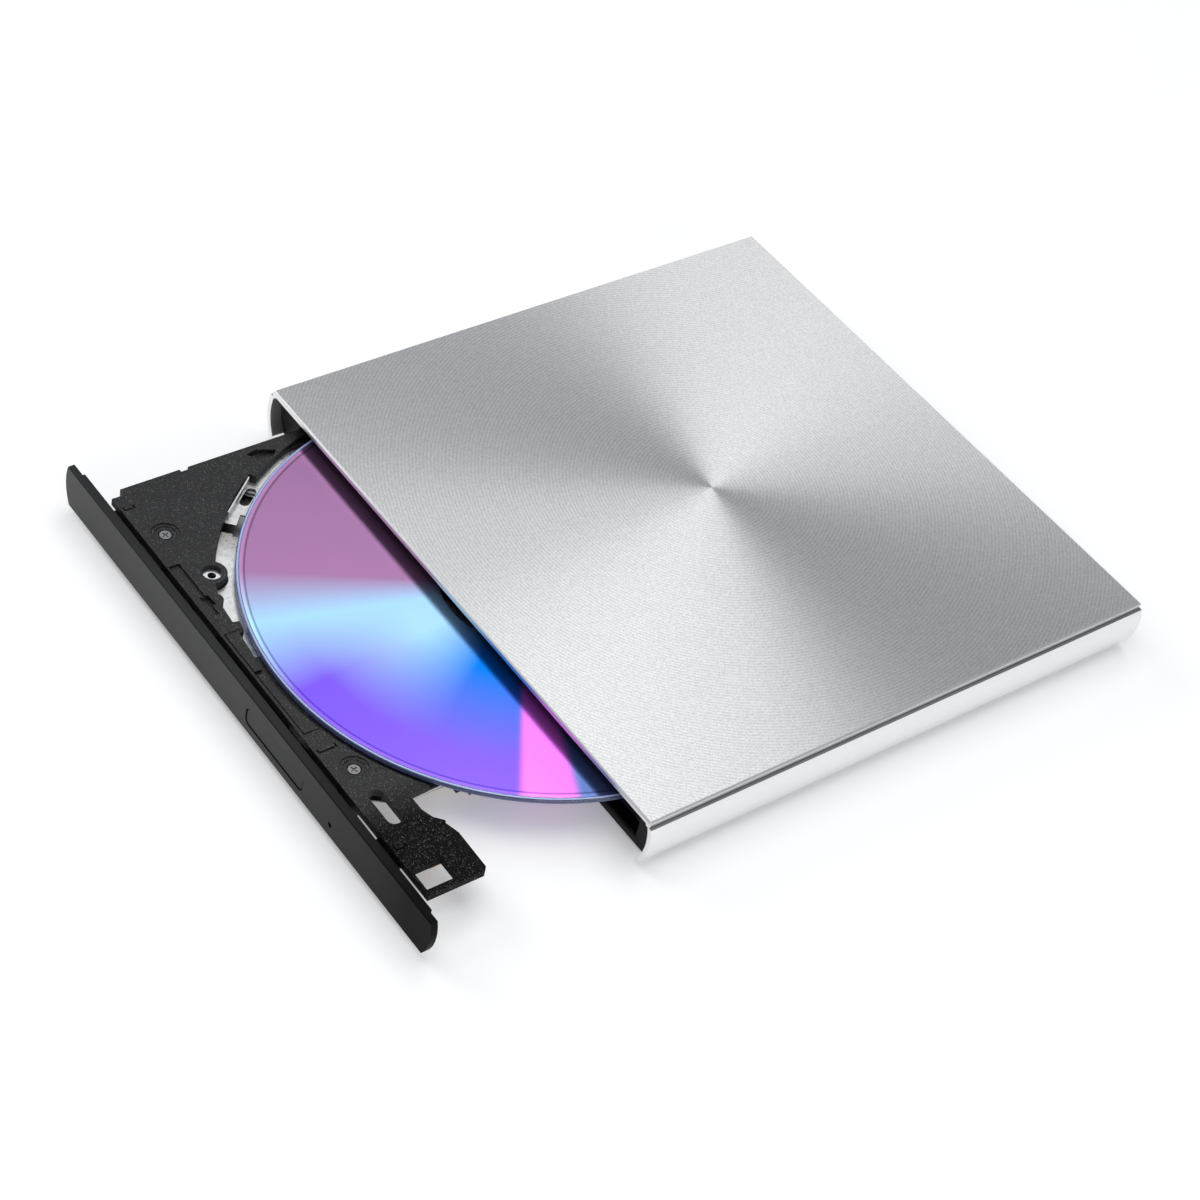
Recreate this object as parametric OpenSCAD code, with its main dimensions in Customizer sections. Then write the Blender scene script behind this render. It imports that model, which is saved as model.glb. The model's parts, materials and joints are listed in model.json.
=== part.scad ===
// External slim optical drive with its tray part way out.
// +Z is up, the tray comes out towards -Y, and the origin lies on the desk
// under the middle of the case. Everything that rides on the tray is drawn
// for a closed tray and then moved out by tray_out.

/* [Case] */
// Width across the bulge of the side walls
case_w = 142.5; // [138:0.5:150]
// Depth from the front lip to the rear face
case_d = 135.5; // [135.5:0.5:145]
// Height from the desk to the top face
case_h = 13.9; // [13.9:0.1:16]
// Thickness of the top cover
cover_t = 1.2; // [0.8:0.1:1.2]
// How far the side walls bulge beyond the top edge
bulge = 1.3; // [0.6:0.1:1.6]
// Radius of the curved side walls
wall_r = 13.5; // [12:0.5:18]
// Height of the rubber feet
foot_h = 0.9; // [0.6:0.1:0.9]
// Radius of a rubber foot
foot_r = 4.5; // [3:0.5:6]

/* [Tray] */
// How far the tray stands out of the case
tray_out = 50.5; // [0:0.5:120]
// Height of the upper face of the tray deck
deck_z = 9.2; // [9:0.1:9.4]
// Thickness of the bezel front plate
bezel_t = 1.5; // [1.2:0.1:2]
// Height of the bezel
bezel_h = 10; // [9:0.1:10.4]
// Radius of the recess round the disc
recess_r = 61.3; // [61:0.1:61.6]
// Radius of its wider stretch at the front left
wide_r = 64; // [63:0.1:64]
// Length of the eject button
button_l = 20.8; // [12:0.1:22]
// Height of the eject button
button_h = 4; // [3:0.1:4.4]

/* [Disc] */
// Radius of the disc
disc_r = 60; // [58:0.5:60]
// Thickness of the disc
disc_t = 1.2; // [1.1:0.1:1.3]
// Radius of the hole in the disc
disc_bore_r = 7.5; // [7.5:0.05:7.6]

/* [Mechanism] */
// Sideways offset of the drive inside the case
drive_x = 1; // [0:0.1:1]
// Distance of the lens from the spindle
lens_at = 38; // [26:0.5:54]
// Radius of the two guide rods
rod_r = 1; // [0.8:0.05:1.1]
// Distance of each guide rod from the line of the lens
rod_x = 13.2; // [13:0.1:14]

/* [Hidden] */
round_fn = 96;
small_fn = 32;
gap = 0.1;          // clearance between fixed pieces
eps = 1;            // overrun of a cut through a face

// Case, derived
front_y = -case_d / 2;
rear_y = case_d / 2;
top_x = case_w / 2 - bulge;
plate_z = case_h - cover_t;
arc_x = case_w / 2 - wall_r;
arc_z = 8.2;
wall_low = 1.7;
band_h = 1.5;
edge_cut = 0.4;
groove = 0.35;
floor_z = foot_h;
floor_t = 1.5;
floor_top = floor_z + floor_t;
liner_t = 1.2;
liner_top = 12.1;    // top of the side liners, under the edge band
setback = 2.8;
frame_y = front_y + setback;
frame_t = 2.9;
rear_t = 1.6;
foot_pos = [[-57, -54], [57, -54], [-57, 54], [57, 54]];

// Chassis, derived
pan_x0 = drive_x - 64;
pan_x1 = drive_x + 64;
pan_y0 = frame_y + frame_t;
pan_y1 = 62.2;
pan_z = floor_top + gap;
sheet = 0.4;
wall_t = 0.5;
lid_z = 11.3;
notch = [40, 50.2];

// Tray, derived, in the closed place
spin = [drive_x, 1];
bezel_z = 1.9;
bezel_back = front_y + bezel_t;
deck_t = 1.7;
ledge_t = 0.5;
deck_y0 = -62.9;
deck_y1 = 58.6;
deck_x0 = -60.8;
leg_x = 61.5;
skirt_t = 1;
skirt_l = -58.3;    // inner face of the left skirt
skirt_r = 38.5;     // inner face of the right skirt
skirt_z = 4.4;
plate_low = 6.85;
plate_t = 0.45;
under_z = 3.25;
under_t = 0.3;
disc_low = 8.4;
ball_at = 6.5;      // distance of the clamping balls from the spin axis
ball_angles = [0, 120, 240];
rod_z = 5.2;
rod_len = 57;
rod_from = 8.5;
pick_a = 225;       // heading of the pickup's travel, seen from above
screw_y = -16.6;
screw_r = 0.9;
lens_r = 2.1;

module along_y(y0, y1) {
  translate([0, y1, 0]) rotate([90, 0, 0]) linear_extrude(y1 - y0) children();
}
module in_tray() { translate([0, -tray_out, 0]) children(); }
module at_spin() { translate([spin[0], spin[1], 0]) children(); }
// Local frame of the pickup: the lens travels along +X, away from the spindle
module pick_frame() { in_tray() at_spin() rotate([0, 0, pick_a]) children(); }
module box(a, b) { translate(a) cube([b[0] - a[0], b[1] - a[1], b[2] - a[2]]); }
module rod(r, z0, z1, fn = small_fn) { translate([0, 0, z0]) cylinder(r = r, h = z1 - z0, $fn = fn); }
module both_sides() { children(); mirror([1, 0, 0]) children(); }
module rounded(w, d, r, h) {
  translate([-w / 2 + r, -d / 2, 0]) cube([w - 2 * r, d, h]);
  translate([-w / 2, -d / 2 + r, 0]) cube([w, d - 2 * r, h]);
  for (sx = [-1, 1], sy = [-1, 1])
    translate([sx * (w / 2 - r), sy * (d / 2 - r), 0]) cylinder(r = r, h = h, $fn = small_fn);
}

// Band between two arcs about the side wall's centre, as a section in X and Z
module wall_band(r_out, r_in, z0, z1) {
  intersection() {
    difference() {
      translate([arc_x, arc_z]) circle(r = r_out, $fn = round_fn);
      translate([arc_x, arc_z]) circle(r = r_in, $fn = round_fn);
    }
    translate([arc_x + 4, z0]) square([wall_r, z1 - z0]);
  }
}
// Solid section inside an arc, out to the middle of the case
module wall_fill(r, z0, z1) {
  intersection() {
    translate([arc_x, arc_z]) circle(r = r, $fn = round_fn);
    translate([arc_x, z0]) square([wall_r, z1 - z0]);
  }
  translate([-0.01, z0]) square([arc_x + 0.02, z1 - z0]);
}

module rear_posts(r, z0, z1) {
  for (x = [-56, 30]) translate([x, 64.1, 0]) rod(r, z0, z1);
}
front_post_x = [-65, 66.6];
front_screw_y = frame_y + 2.05;
module front_holes(r, z0, z1) {
  for (x = front_post_x) translate([x, front_screw_y, 0]) rod(r, z0, z1);
}

module top_cover() {
  color([0.78, 0.78, 0.79]) difference() {
    union() {
      along_y(front_y, rear_y) {
        translate([-top_x, plate_z]) square([2 * top_x, cover_t]);
        both_sides() {
          wall_band(wall_r, wall_r - cover_t, wall_low, case_h - band_h);
          translate([top_x - cover_t, case_h - band_h - 0.2]) square([cover_t, band_h]);
        }
      }
      rear_posts(1.7, floor_top + gap, plate_z + 0.2);
    }
    rear_posts(0.85, 0, plate_z - 1);
    both_sides() {
      // chamfer along the top side edge and the fine groove under the edge band
      along_y(front_y - eps, rear_y + eps) {
        polygon([[top_x - edge_cut, case_h], [top_x + eps, case_h - edge_cut - eps],
          [top_x + eps, case_h + eps], [top_x - edge_cut, case_h + eps]]);
        polygon([[top_x - groove, case_h - band_h], [top_x + eps, case_h - band_h + 0.6],
          [top_x + eps, case_h - band_h - 0.1]]);
      }
    }
    // chamfer along the front and rear lips
    for (s = [0, 1]) mirror([0, s, 0]) rotate([90, 0, 90])
      translate([0, 0, -case_w]) linear_extrude(2 * case_w)
        polygon([[front_y + edge_cut, case_h], [front_y - eps, case_h - edge_cut - eps],
          [front_y - eps, case_h + eps], [front_y + edge_cut, case_h + eps]]);
  }
}

usb_pos = [52, rear_y - 7.6, 5.6];
usb_w = 8.9;
usb_h = 3.2;
usb_len = 7.3;

module bottom_cover() {
  color([0.05, 0.05, 0.055]) difference() {
    union() {
      along_y(frame_y, rear_y - 0.3) {
        both_sides() {
          wall_fill(wall_r - cover_t - gap, wall_low, floor_top);
          wall_band(wall_r - cover_t - gap, wall_r - cover_t - liner_t, floor_top - 0.5, liner_top);
        }
        translate([-arc_x - 9.3, floor_z]) square([2 * (arc_x + 9.3), 1]);
      }
      along_y(rear_y - 0.3 - rear_t, rear_y - 0.3) both_sides() {
        wall_fill(wall_r - cover_t - gap, floor_top - 0.5, liner_top);
        translate([-0.01, liner_top - 0.01]) square([top_x - cover_t - gap, plate_z - gap - liner_top]);
      }
      // rests for the bridge board
      for (x = [43, 56]) box([x, 56, floor_top - 0.1], [x + 1.5, 63, 2.98]);
    }
    // openings: USB socket, rear screws and front screws with their countersinks
    translate([usb_pos[0], rear_y - 5, usb_pos[2]]) usb_outline(0.15, 10);
    rear_posts(1, 0, floor_top + eps);
    rear_posts(2, 0, floor_z + 0.7);
    front_holes(0.75, 0, floor_top + eps);
    front_holes(1.3, 0, floor_z + 0.7);
    // recesses that seat the feet
    for (p = foot_pos) translate([p[0], p[1], 0]) rod(foot_r + gap, 0, floor_z + 0.4);
  }
}

// Rounded slot shape of the USB socket, pushed along +Y
module usb_outline(grow, len) {
  h = usb_h + 2 * grow;
  w = usb_w + 2 * grow;
  translate([0, len, 0]) rotate([90, 0, 0]) linear_extrude(len) {
    square([w - h, h], center = true);
    for (s = [-1, 1]) translate([s * (w - h) / 2, 0]) circle(d = h, $fn = small_fn);
  }
}

module front_frame() {
  color([0.04, 0.04, 0.045]) difference() {
    along_y(frame_y, frame_y + frame_t)
      both_sides() wall_fill(wall_r - cover_t - liner_t - gap, floor_top + gap, plate_z - gap);
    // mouth for the tray, with a sloping sill
    box([pan_x0 + wall_t, frame_y - eps, pan_z + sheet], [pan_x1 - wall_t, pan_y0 + eps, lid_z]);
    rotate([90, 0, 90]) translate([0, 0, pan_x0 + wall_t]) linear_extrude(pan_x1 - pan_x0 - 2 * wall_t)
      polygon([[frame_y - eps, 3.6], [frame_y - eps, pan_z + 0.1], [frame_y, pan_z + 0.1],
        [frame_y + 1, 3.6]]);
    front_holes(0.68, 0, 8);
  }
}

module rubber_feet() {
  color([0.1, 0.1, 0.1]) for (p = foot_pos) translate([p[0], p[1], 0]) {
    rod(foot_r, 0.3, floor_z + 0.4, round_fn);
    cylinder(r1 = foot_r - 0.3, r2 = foot_r, h = 0.3, $fn = round_fn);
  }
}

module screw_up(head_r, head_h, r, len) {
  difference() {
    union() { rod(head_r, 0, head_h); rod(r, 0, len); }
    for (a = [0, 90]) rotate([0, 0, a]) translate([-head_r * 0.6, -0.18, -eps])
      cube([head_r * 1.2, 0.36, eps + head_h * 0.6]);
  }
}

module case_screws() {
  color([0.2, 0.2, 0.21]) {
    for (x = [-56, 30]) translate([x, 64.1, floor_z + 0.1]) screw_up(1.7, 0.6, 0.75, 6);
    for (x = front_post_x) translate([x, front_screw_y, floor_z + 0.1]) screw_up(1.2, 0.6, 0.6, 5.5);
  }
}

module pan_outline(d) {
  polygon([[pan_x0 + d, pan_y0 - (d > 0 ? eps : 0)], [pan_x1 - d, pan_y0 - (d > 0 ? eps : 0)],
    [pan_x1 - d, notch[1] - d], [notch[0] - d, notch[1] - d], [notch[0] - d, pan_y1 - d],
    [pan_x0 + d, pan_y1 - d]]);
}

chassis_screw_pos = [[-56.5, 56.5], [-56.5, 46.5], [46, 40], [60, 40], [46, -28], [60, -28]];

module chassis_pan() {
  color([0.66, 0.67, 0.68]) difference() {
    union() {
      difference() {
        translate([0, 0, pan_z]) linear_extrude(lid_z - pan_z) pan_outline(0);
        translate([0, 0, pan_z + sheet]) linear_extrude(lid_z) pan_outline(wall_t);
      }
      // stiffening beads in the floor
      for (y = [-40, -15, 10, 35]) translate([-14, y, pan_z + sheet]) rounded(60, 2.6, 1.2, 0.2);
    }
    // cable gap beside the SATA plug
    box([44, notch[1] - 2, 6], [62, notch[1] + eps, 9.4]);
  }
}

module chassis_lid() {
  color([0.72, 0.73, 0.74]) {
    translate([0, 0, lid_z]) linear_extrude(sheet) pan_outline(0);
    translate([spin[0], spin[1], lid_z + sheet]) difference() {
      rod(24, 0, 0.2, round_fn);
      rod(17, -eps, eps, round_fn);
    }
    for (x = [-60.6, 62.6]) box([x - 0.9, -50, lid_z + sheet], [x + 0.9, 44, lid_z + sheet + 0.2]);
  }
}

module chassis_screws() {
  color([0.75, 0.75, 0.72]) for (p = chassis_screw_pos)
    translate([p[0], p[1], lid_z + sheet]) rotate([180, 0, 0]) translate([0, 0, -0.5]) difference() {
      rod(1.3, 0, 0.5);
      for (a = [0, 90]) rotate([0, 0, a]) box([-0.8, -0.15, -eps], [0.8, 0.15, 0.25]);
    }
}

// Telescopic slide. u runs outward from the inner face of the tray's skirt.
module place_u(side) {
  if (side < 0) translate([skirt_l, 0, 0]) mirror([1, 0, 0]) children();
  else translate([skirt_r, 0, 0]) children();
}
module c_section(u0, u1, z0, z1, t) {
  translate([u1 - t, z0]) square([t, z1 - z0]);
  translate([u0, z0]) square([u1 - u0, t]);
  translate([u0, z1 - t]) square([u1 - u0, t]);
}
slide_y0 = [-60, -43];   // front ends of the left and right guides
slide_y1 = 44;           // rear ends of both
function slide_start(side) = slide_y0[side < 0 ? 0 : 1];
module guide(side) {
  color([0.09, 0.09, 0.1]) place_u(side) {
    along_y(slide_start(side), slide_y1) c_section(2, 4.1, pan_z + sheet + 0.05, 7.25, 0.45);
    // stop at the rear end
    box([2, slide_y1, pan_z + sheet + 0.05], [4.1, slide_y1 + 1.2, 7.25]);
  }
}
module left_guide() { guide(-1); }
module right_guide() { guide(1); }
module rail(side) {
  color([0.7, 0.71, 0.72]) place_u(side)
    along_y(slide_start(side) + 3, slide_y1 - 2) c_section(1.25, 3.45, 3.7, 6.55, 0.45);
}
module left_rail() { rail(-1); }
module right_rail() { rail(1); }

board_pegs = [[54, -40], [47, 38]];
module main_pcb() {
  color([0.05, 0.25, 0.12]) difference() {
    box([44.5, -44, 4.2], [63.6, 48.6, 5.0]);
    for (p = board_pegs) translate([p[0], p[1], 0]) rod(1.1, 0, 9);
  }
  color([0.7, 0.7, 0.7]) for (p = board_pegs) translate([p[0], p[1], 0])
    rod(1, pan_z + sheet, 5.4);
}
module main_chips() {
  color([0.06, 0.06, 0.07]) {
    box([47, -14, 5], [59, -2, 6.2]);
    box([48, 6, 5], [57, 15, 6]);
    box([48, 24, 5], [54, 30, 5.9]);
    box([57, 22, 5], [61, 31, 5.9]);
  }
  color([0.75, 0.7, 0.6]) for (i = [0:5]) box([46 + 2.8 * i, -24, 5], [47.4 + 2.8 * i, -21.6, 5.7]);
  color([0.85, 0.83, 0.78]) box([45, -37, 5], [58, -33, 6.1]);
}
module sata_plug() {
  color([0.07, 0.07, 0.08]) {
    box([45, 44.6, 6.2], [61, 48.8, 9]);
    box([46, 48.8, 7], [60, 51.6, 8.2]);
    box([46, 45, 5.02], [60, 46.5, 6.2]);
  }
}
module bridge_pcb() {
  color([0.04, 0.22, 0.12]) box([42, 52.2, 3.0], [64.5, 65.4, 3.8]);
}
module bridge_chip() {
  color([0.06, 0.06, 0.07]) box([58.5, 56.6, 3.8], [63.5, 61.6, 4.8]);
  color([0.75, 0.7, 0.6]) for (i = [0:2]) box([58.6 + 1.8 * i, 63, 3.8], [59.8 + 1.8 * i, 64.4, 4.5]);
}
module sata_receptacle() {
  color([0.08, 0.08, 0.09]) difference() {
    box([44, 52.0, 3.82], [62, 55.6, 9.6]);
    box([45.8, 50, 6.8], [60.2, 54, 8.4]);
  }
}
module usb_shell() {
  color([0.75, 0.75, 0.76]) difference() {
    translate(usb_pos) usb_outline(0, usb_len);
    translate([0, 1, 0]) translate(usb_pos) usb_outline(-0.3, usb_len);
  }
  color([0.75, 0.75, 0.76]) for (s = [-1, 1])
    translate([usb_pos[0] + s * (usb_w / 2 - 1.6) - 0.6, usb_pos[1] + 1, 3.82]) cube([1.2, 3, 0.3]);
}
module usb_tongue() {
  color([0.1, 0.1, 0.1]) box([usb_pos[0] - 3.3, usb_pos[1] + 1, usb_pos[2] - 0.35],
    [usb_pos[0] + 3.3, usb_pos[1] + 6.4, usb_pos[2] + 0.35]);
}
module flex_cable() {
  color([0.55, 0.33, 0.1]) box([20, -30, pan_z + sheet + 0.02], [36, 46, pan_z + sheet + 0.14]);
}
// Tray
leg_pts = [[20, deck_y0], [leg_x, deck_y0], [leg_x, -49.8], [59.9, -48.3], [50.2, -48.1],
  [47.2, -49.8], [45.6, -51.3], [43, -52.2], [38.8, -52.2], [38.6, -47], [30, -44], [20, -50]];

// Opening round the disc: wide at the front left, where the metal plate shows
module recess_shape() {
  translate(spin) circle(r = recess_r, $fn = round_fn);
  intersection() {
    translate(spin) circle(r = wide_r, $fn = round_fn);
    polygon([spin, [-66.8, -41.4], [-50, -75], [-23.4, -58.2], [-3.4, -60]]);
  }
  intersection() {
    translate(spin) circle(r = recess_r + 1, $fn = round_fn);
    translate([deck_x0 - 1, -50]) square([50, 110]);
  }
}

module deck_shape() {
  difference() {
    union() {
      translate([deck_x0, deck_y0]) square([90, 40]);
      translate([deck_x0, deck_y0]) square([45, deck_y1 - deck_y0]);
      polygon(leg_pts);
    }
    recess_shape();
  }
  // lobe and tab that reach in over the metal plate
  translate([-23.9, -58.6]) circle(r = 1.7, $fn = small_fn);
  polygon([[-17.2, -60.4], [-16.4, -57.4], [-13.9, -57.8], [-13.2, -60.4]]);
}

tray_screw_pos = [[-45.2, -58], [27.9, -58]];
boss_pos = [-31, -55.2];

module tray_moulding() {
  color([0.09, 0.09, 0.095]) in_tray() difference() {
    union() {
      translate([0, 0, deck_z - deck_t]) linear_extrude(deck_t) deck_shape();
      // ledges under the disc that join the deck to the side skirts and the rear
      translate([0, 0, deck_z - deck_t]) linear_extrude(ledge_t) {
        translate([skirt_l - 2.5, -40]) square([3.4, 98]);
        translate([skirt_r - 4, -52]) square([4, 102.6]);
        difference() {
          translate([skirt_l - 2.5, 46]) square([skirt_r - skirt_l + 2.5, 4.6]);
          translate([skirt_r - 3, 40]) square([10, 20]);
        }
        intersection() {
          difference() {
            translate(spin) circle(r = recess_r + 0.8, $fn = round_fn);
            translate(spin) circle(r = 55, $fn = round_fn);
          }
          polygon([spin, [-7.5, -62], [15, -63], [38.4, -52], [38.4, -36]]);
        }
      }
      // side skirts with their runners
      for (side = [-1, 1]) place_u(side) {
        y1 = side < 0 ? 52 : 44;
        y0 = slide_start(side) + 2;
        box([0, y0, skirt_z], [skirt_t, y1, deck_z - deck_t + 0.1]);
        box([0, y0 + 2, 4.5], [2.7, slide_y1 - 2.5, 5.75]);
      }
      // front web that the bezel's tabs hold
      box([-58, web_y0, 5.4], [34, deck_y0 + 1.2, 6.6]);
      for (x = [-52, -30, 32]) box([x, deck_y0 + 0.2, 5.4], [x + 4, deck_y0 + 1.2, deck_z - deck_t + 0.1]);
      // pivot pin of the latch lever
      translate([latch_at[0], latch_at[1], 0]) rod(0.8, 3.5, deck_z - deck_t + 0.1);
      // boss that holds the metal bush
      translate([boss_pos[0], boss_pos[1], 0]) rod(3.2, plate_low, deck_z);
    }
    // room for the eject switch in the web
    box([10.5, web_y0 - 0.5, 5.3], [17.5, deck_y0 + 1.4, 6.9]);
    // screw recesses and their holes
    for (p = tray_screw_pos) translate([p[0], p[1], 0]) {
      rod(3.1, deck_z - 0.3, deck_z + eps, round_fn);
      rod(2.4, deck_z - 0.5, deck_z + eps, round_fn);
      rod(1.1, 0, deck_z + eps);
      rod(1.5, deck_z - 1, deck_z + eps);
    }
    translate([boss_pos[0], boss_pos[1], 0]) rod(2.1, 0, deck_z + eps);
    // arrow pocket, rounded slot and square hole
    translate([0, 0, deck_z - 1.1]) linear_extrude(eps + 1.1)
      polygon([[-58.8, -30.3], [-59.3, -27.6], [-57.6, -23.7], [-56.1, -24.9], [-55.6, -28]]);
    translate([39.2, -58.1, 0]) rounded_slot(9.3, 3.2);
    box([55, -62.3, 0], [60.2, -55.5, deck_z + eps]);
    // narrower front left corner and a notch along the left edge
    box([deck_x0 - eps, deck_y0 - eps, 0], [-59, deck_y0 + 3, deck_z + eps]);
    box([deck_x0 - eps, -45.6, 0], [deck_x0 + 0.7, -43.6, deck_z + eps]);
    // sunk channel with its pocket, sunk panel and notch beside the bezel
    box([-36.2, deck_y0 + 0.3, deck_z - 0.6], [-20, deck_y0 + 2.9, deck_z + eps]);
    translate([0, 0, deck_z - 1.2]) linear_extrude(eps + 1.2)
      polygon([[-26.2, -61], [-25.6, -59.4], [-22.6, -59.1], [-22.9, -60.5], [-24, -61.2]]);
    box([-14.5, deck_y0 + 0.9, deck_z - 0.2], [15.7, -54, deck_z + eps]);
    box([-14.5, deck_y0 + 0.6, deck_z - 0.5], [16.1, deck_y0 + 1, deck_z + eps]);
    box([15.7, deck_y0 + 0.6, deck_z - 0.5], [16.1, -54, deck_z + eps]);
    box([-3, deck_y0 + 0.8, deck_z - 1], [-1.9, -58, deck_z + eps]);
    // alignment marks: a bar with a tick at each end
    for (m = [[-54.9, 2.6], [21.3, 4.4], [49.2, 2.6]])
      translate([m[0], deck_y0 + 0.6, deck_z - 0.4]) {
        cube([0.4, m[1], eps]);
        for (y = [0, m[1] - 0.4]) translate([-0.7, y, 0]) cube([1, 0.4, eps]);
      }
    // shallow round mark beside the right screw
    translate([31.2, -53.9, 0]) rod(1.1, deck_z - 0.15, deck_z + eps);
    // chamfer along the leg's rear edge
    translate([47.6, -50.7, deck_z]) rotate([-30, 0, 0]) cube([16, 6, 2]);
  }
}
module rounded_slot(len, w) {
  box([-len / 2 + w / 2, -w / 2, 0], [len / 2 - w / 2, w / 2, deck_z + eps]);
  for (s = [-1, 1]) translate([s * (len - w) / 2, 0, 0]) rod(w / 2, 0, deck_z + eps);
}

// Section of the bezel's front plate seen from the front
bezel_r = wall_r - cover_t - 0.35;
bezel_cut = 0.25;
bezel_top = bezel_z + bezel_h;
step_t = 0.8;
web_y0 = bezel_back + step_t + 0.6;
button_pos = [4, 4.1];
button_gap = 0.3;
switch_y = -63.8;    // tip of the eject switch's plunger
pin_hole = [35.2, 4.9];

// Rounded outline of the eject button in X and Z, grown by g
module button_outline(g) {
  r = 1.1 + g;
  translate([button_pos[0] + button_l / 2, button_pos[1] + button_h / 2]) {
    square([button_l - 2.2, button_h + 2 * g], center = true);
    square([button_l + 2 * g, button_h - 2.2], center = true);
    for (sx = [-1, 1], sz = [-1, 1])
      translate([sx * (button_l / 2 - 1.1), sz * (button_h / 2 - 1.1)]) circle(r = r, $fn = small_fn);
  }
}

module bezel() {
  color([0.06, 0.06, 0.065]) in_tray() difference() {
    union() {
      along_y(front_y, bezel_back)
        both_sides() wall_fill(bezel_r, bezel_z, bezel_top);
      // step behind the plate and the tabs that grip the tray
      box([-66, bezel_back - 0.1, 3.8], [66, bezel_back + step_t, bezel_top - 0.5]);
      for (x = [-46, -24, 22, 44]) box([x, bezel_back + step_t - 0.1, 6.8], [x + 8, deck_y0 + 0.9, 7.4]);
    }
    // chamfer along the top front edge
    rotate([90, 0, 90]) translate([0, 0, -case_w]) linear_extrude(2 * case_w)
      polygon([[front_y - eps, bezel_top - bezel_cut - eps], [front_y - eps, bezel_top + eps],
        [front_y + bezel_cut + eps, bezel_top + eps]]);
    // window for the button and the pinhole
    along_y(front_y - eps, bezel_back + 2) button_outline(button_gap);
    translate([pin_hole[0], front_y - eps, pin_hole[1]]) rotate([-90, 0, 0]) rod(0.6, 0, 8);
    // hollow back of the plate
    for (x = [-60, 53]) box([x, bezel_back - 0.4, 4.6], [x + 9, bezel_back + 2, 8.6]);
  }
}

module eject_button() {
  color([0.06, 0.06, 0.065]) in_tray() {
    along_y(front_y + 0.15, bezel_back + 0.4) button_outline(0);
    box([12.6, bezel_back + 0.3, 5.6], [15.4, switch_y - 0.6, 6.7]);
  }
}

lip_a = 218;        // direction of the bent lip, seen from the spindle
module sector(r0, r1, a0, a1) {
  rotate([0, 0, a0]) rotate_extrude(angle = a1 - a0, $fn = round_fn)
    translate([r0, 0]) square([r1 - r0, 20]);
}

module deck_plate() {
  color([0.8, 0.8, 0.78]) in_tray() difference() {
    union() {
      translate([0, 0, plate_low]) linear_extrude(plate_t) intersection() {
        translate(spin) circle(r = wide_r, $fn = round_fn);
        translate([skirt_l + gap, deck_y0 + 1.4])
          square([skirt_r - skirt_l - 2 * gap, deck_y1 - deck_y0 - 8]);
      }
      // lip bent up against the deck's edge
      at_spin() rotate([0, 0, lip_a]) box([wide_r - 0.75, -6.1, plate_low], [wide_r - 0.4, 6.1, 8.9]);
    }
    at_spin() {
      rod(13.2, 0, 20, round_fn);
      // oval hole beside the lip, and the gap that shows the mechanism
      rotate([0, 0, lip_a - 1.6]) translate([wide_r - 2.1, 0, 0]) {
        box([-1.15, -1.8, 0], [1.15, 1.8, 20]);
        for (s = [-1.8, 1.8]) translate([0, s, 0]) rod(1.15, 0, 20);
      }
      sector(57, wide_r + 2, 225, 227.6);
      // window that the lens looks through
      rotate([0, 0, pick_a]) {
        box([12, -8.4, 0], [55, 8.4, 20]);
        box([50, -3.5, 0], [61.4, 3.5, 20]);
      }
    }
    translate([boss_pos[0], boss_pos[1], 0]) rod(3.5, 0, 20);
    for (p = tray_screw_pos) translate([p[0], p[1], 0]) rod(2, 0, 20);
  }
}

module tray_bottom() {
  color([0.7, 0.71, 0.71]) in_tray() difference() {
    translate([0, 0, under_z]) linear_extrude(under_t) polygon([[skirt_l + gap, -50],
      [-50, -60], [30, -60], [36, -52], [skirt_r - gap, 44], [24, 52], [-48, 52], [skirt_l + gap, 44]]);
    at_spin() for (a = [100, 160]) rotate([0, 0, a]) translate([40, 0, 0]) rod(5, 0, 20);
  }
}

module tray_screws() {
  color([0.8, 0.8, 0.8]) in_tray() for (p = tray_screw_pos) translate([p[0], p[1], 0]) difference() {
    union() {
      rod(1.25, deck_z - 0.95, deck_z - 0.5);
      rod(0.95, 4.6, deck_z - 0.6);
    }
    for (a = [20, 110]) translate([0, 0, deck_z - 0.8]) rotate([0, 0, a])
      box([-0.8, -0.16, 0], [0.8, 0.16, 1]);
  }
}
module tray_boss() {
  color([0.7, 0.7, 0.68]) in_tray() translate([boss_pos[0], boss_pos[1], 0]) difference() {
    rod(2, plate_low, deck_z - 1);
    rod(0.9, 0, 20);
  }
}

module spindle_stator() {
  color([0.35, 0.36, 0.37]) in_tray() at_spin() difference() {
    union() {
      rod(11.4, under_z + under_t, 4.0, round_fn);
      for (a = [0 : 40 : 320]) rotate([0, 0, a]) box([2.95, -0.95, 3.9], [9.4, 0.95, 4.7]);
      rod(3.4, 3.9, 4.9);
    }
    rod(1.05, 3.7, 10);
  }
}
module turntable() {
  color([0.15, 0.15, 0.16]) in_tray() at_spin() difference() {
    union() {
      rod(12.2, 5.1, disc_low - 0.6, round_fn);
      rod(11.6, disc_low - 0.7, disc_low - 0.12, round_fn);
      rod(7.4, disc_low - 0.2, disc_low + 0.9, round_fn);
      translate([0, 0, disc_low + 0.9]) cylinder(r1 = 7.4, r2 = 6.4, h = 0.9, $fn = round_fn);
      rod(1, 4.2, 5.2);
    }
    rod(3, disc_low + 1.2, 20);
    for (a = ball_angles) rotate([0, 0, a]) translate([ball_at, 0, 0])
      rod(1.2, disc_low + 0.2, disc_low + 2);
  }
}
module clamp_balls() {
  color([0.85, 0.85, 0.86]) in_tray() at_spin() for (a = ball_angles)
    rotate([0, 0, a]) translate([ball_at, 0, disc_low + 1.35]) sphere(r = 0.95, $fn = small_fn);
}
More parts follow.
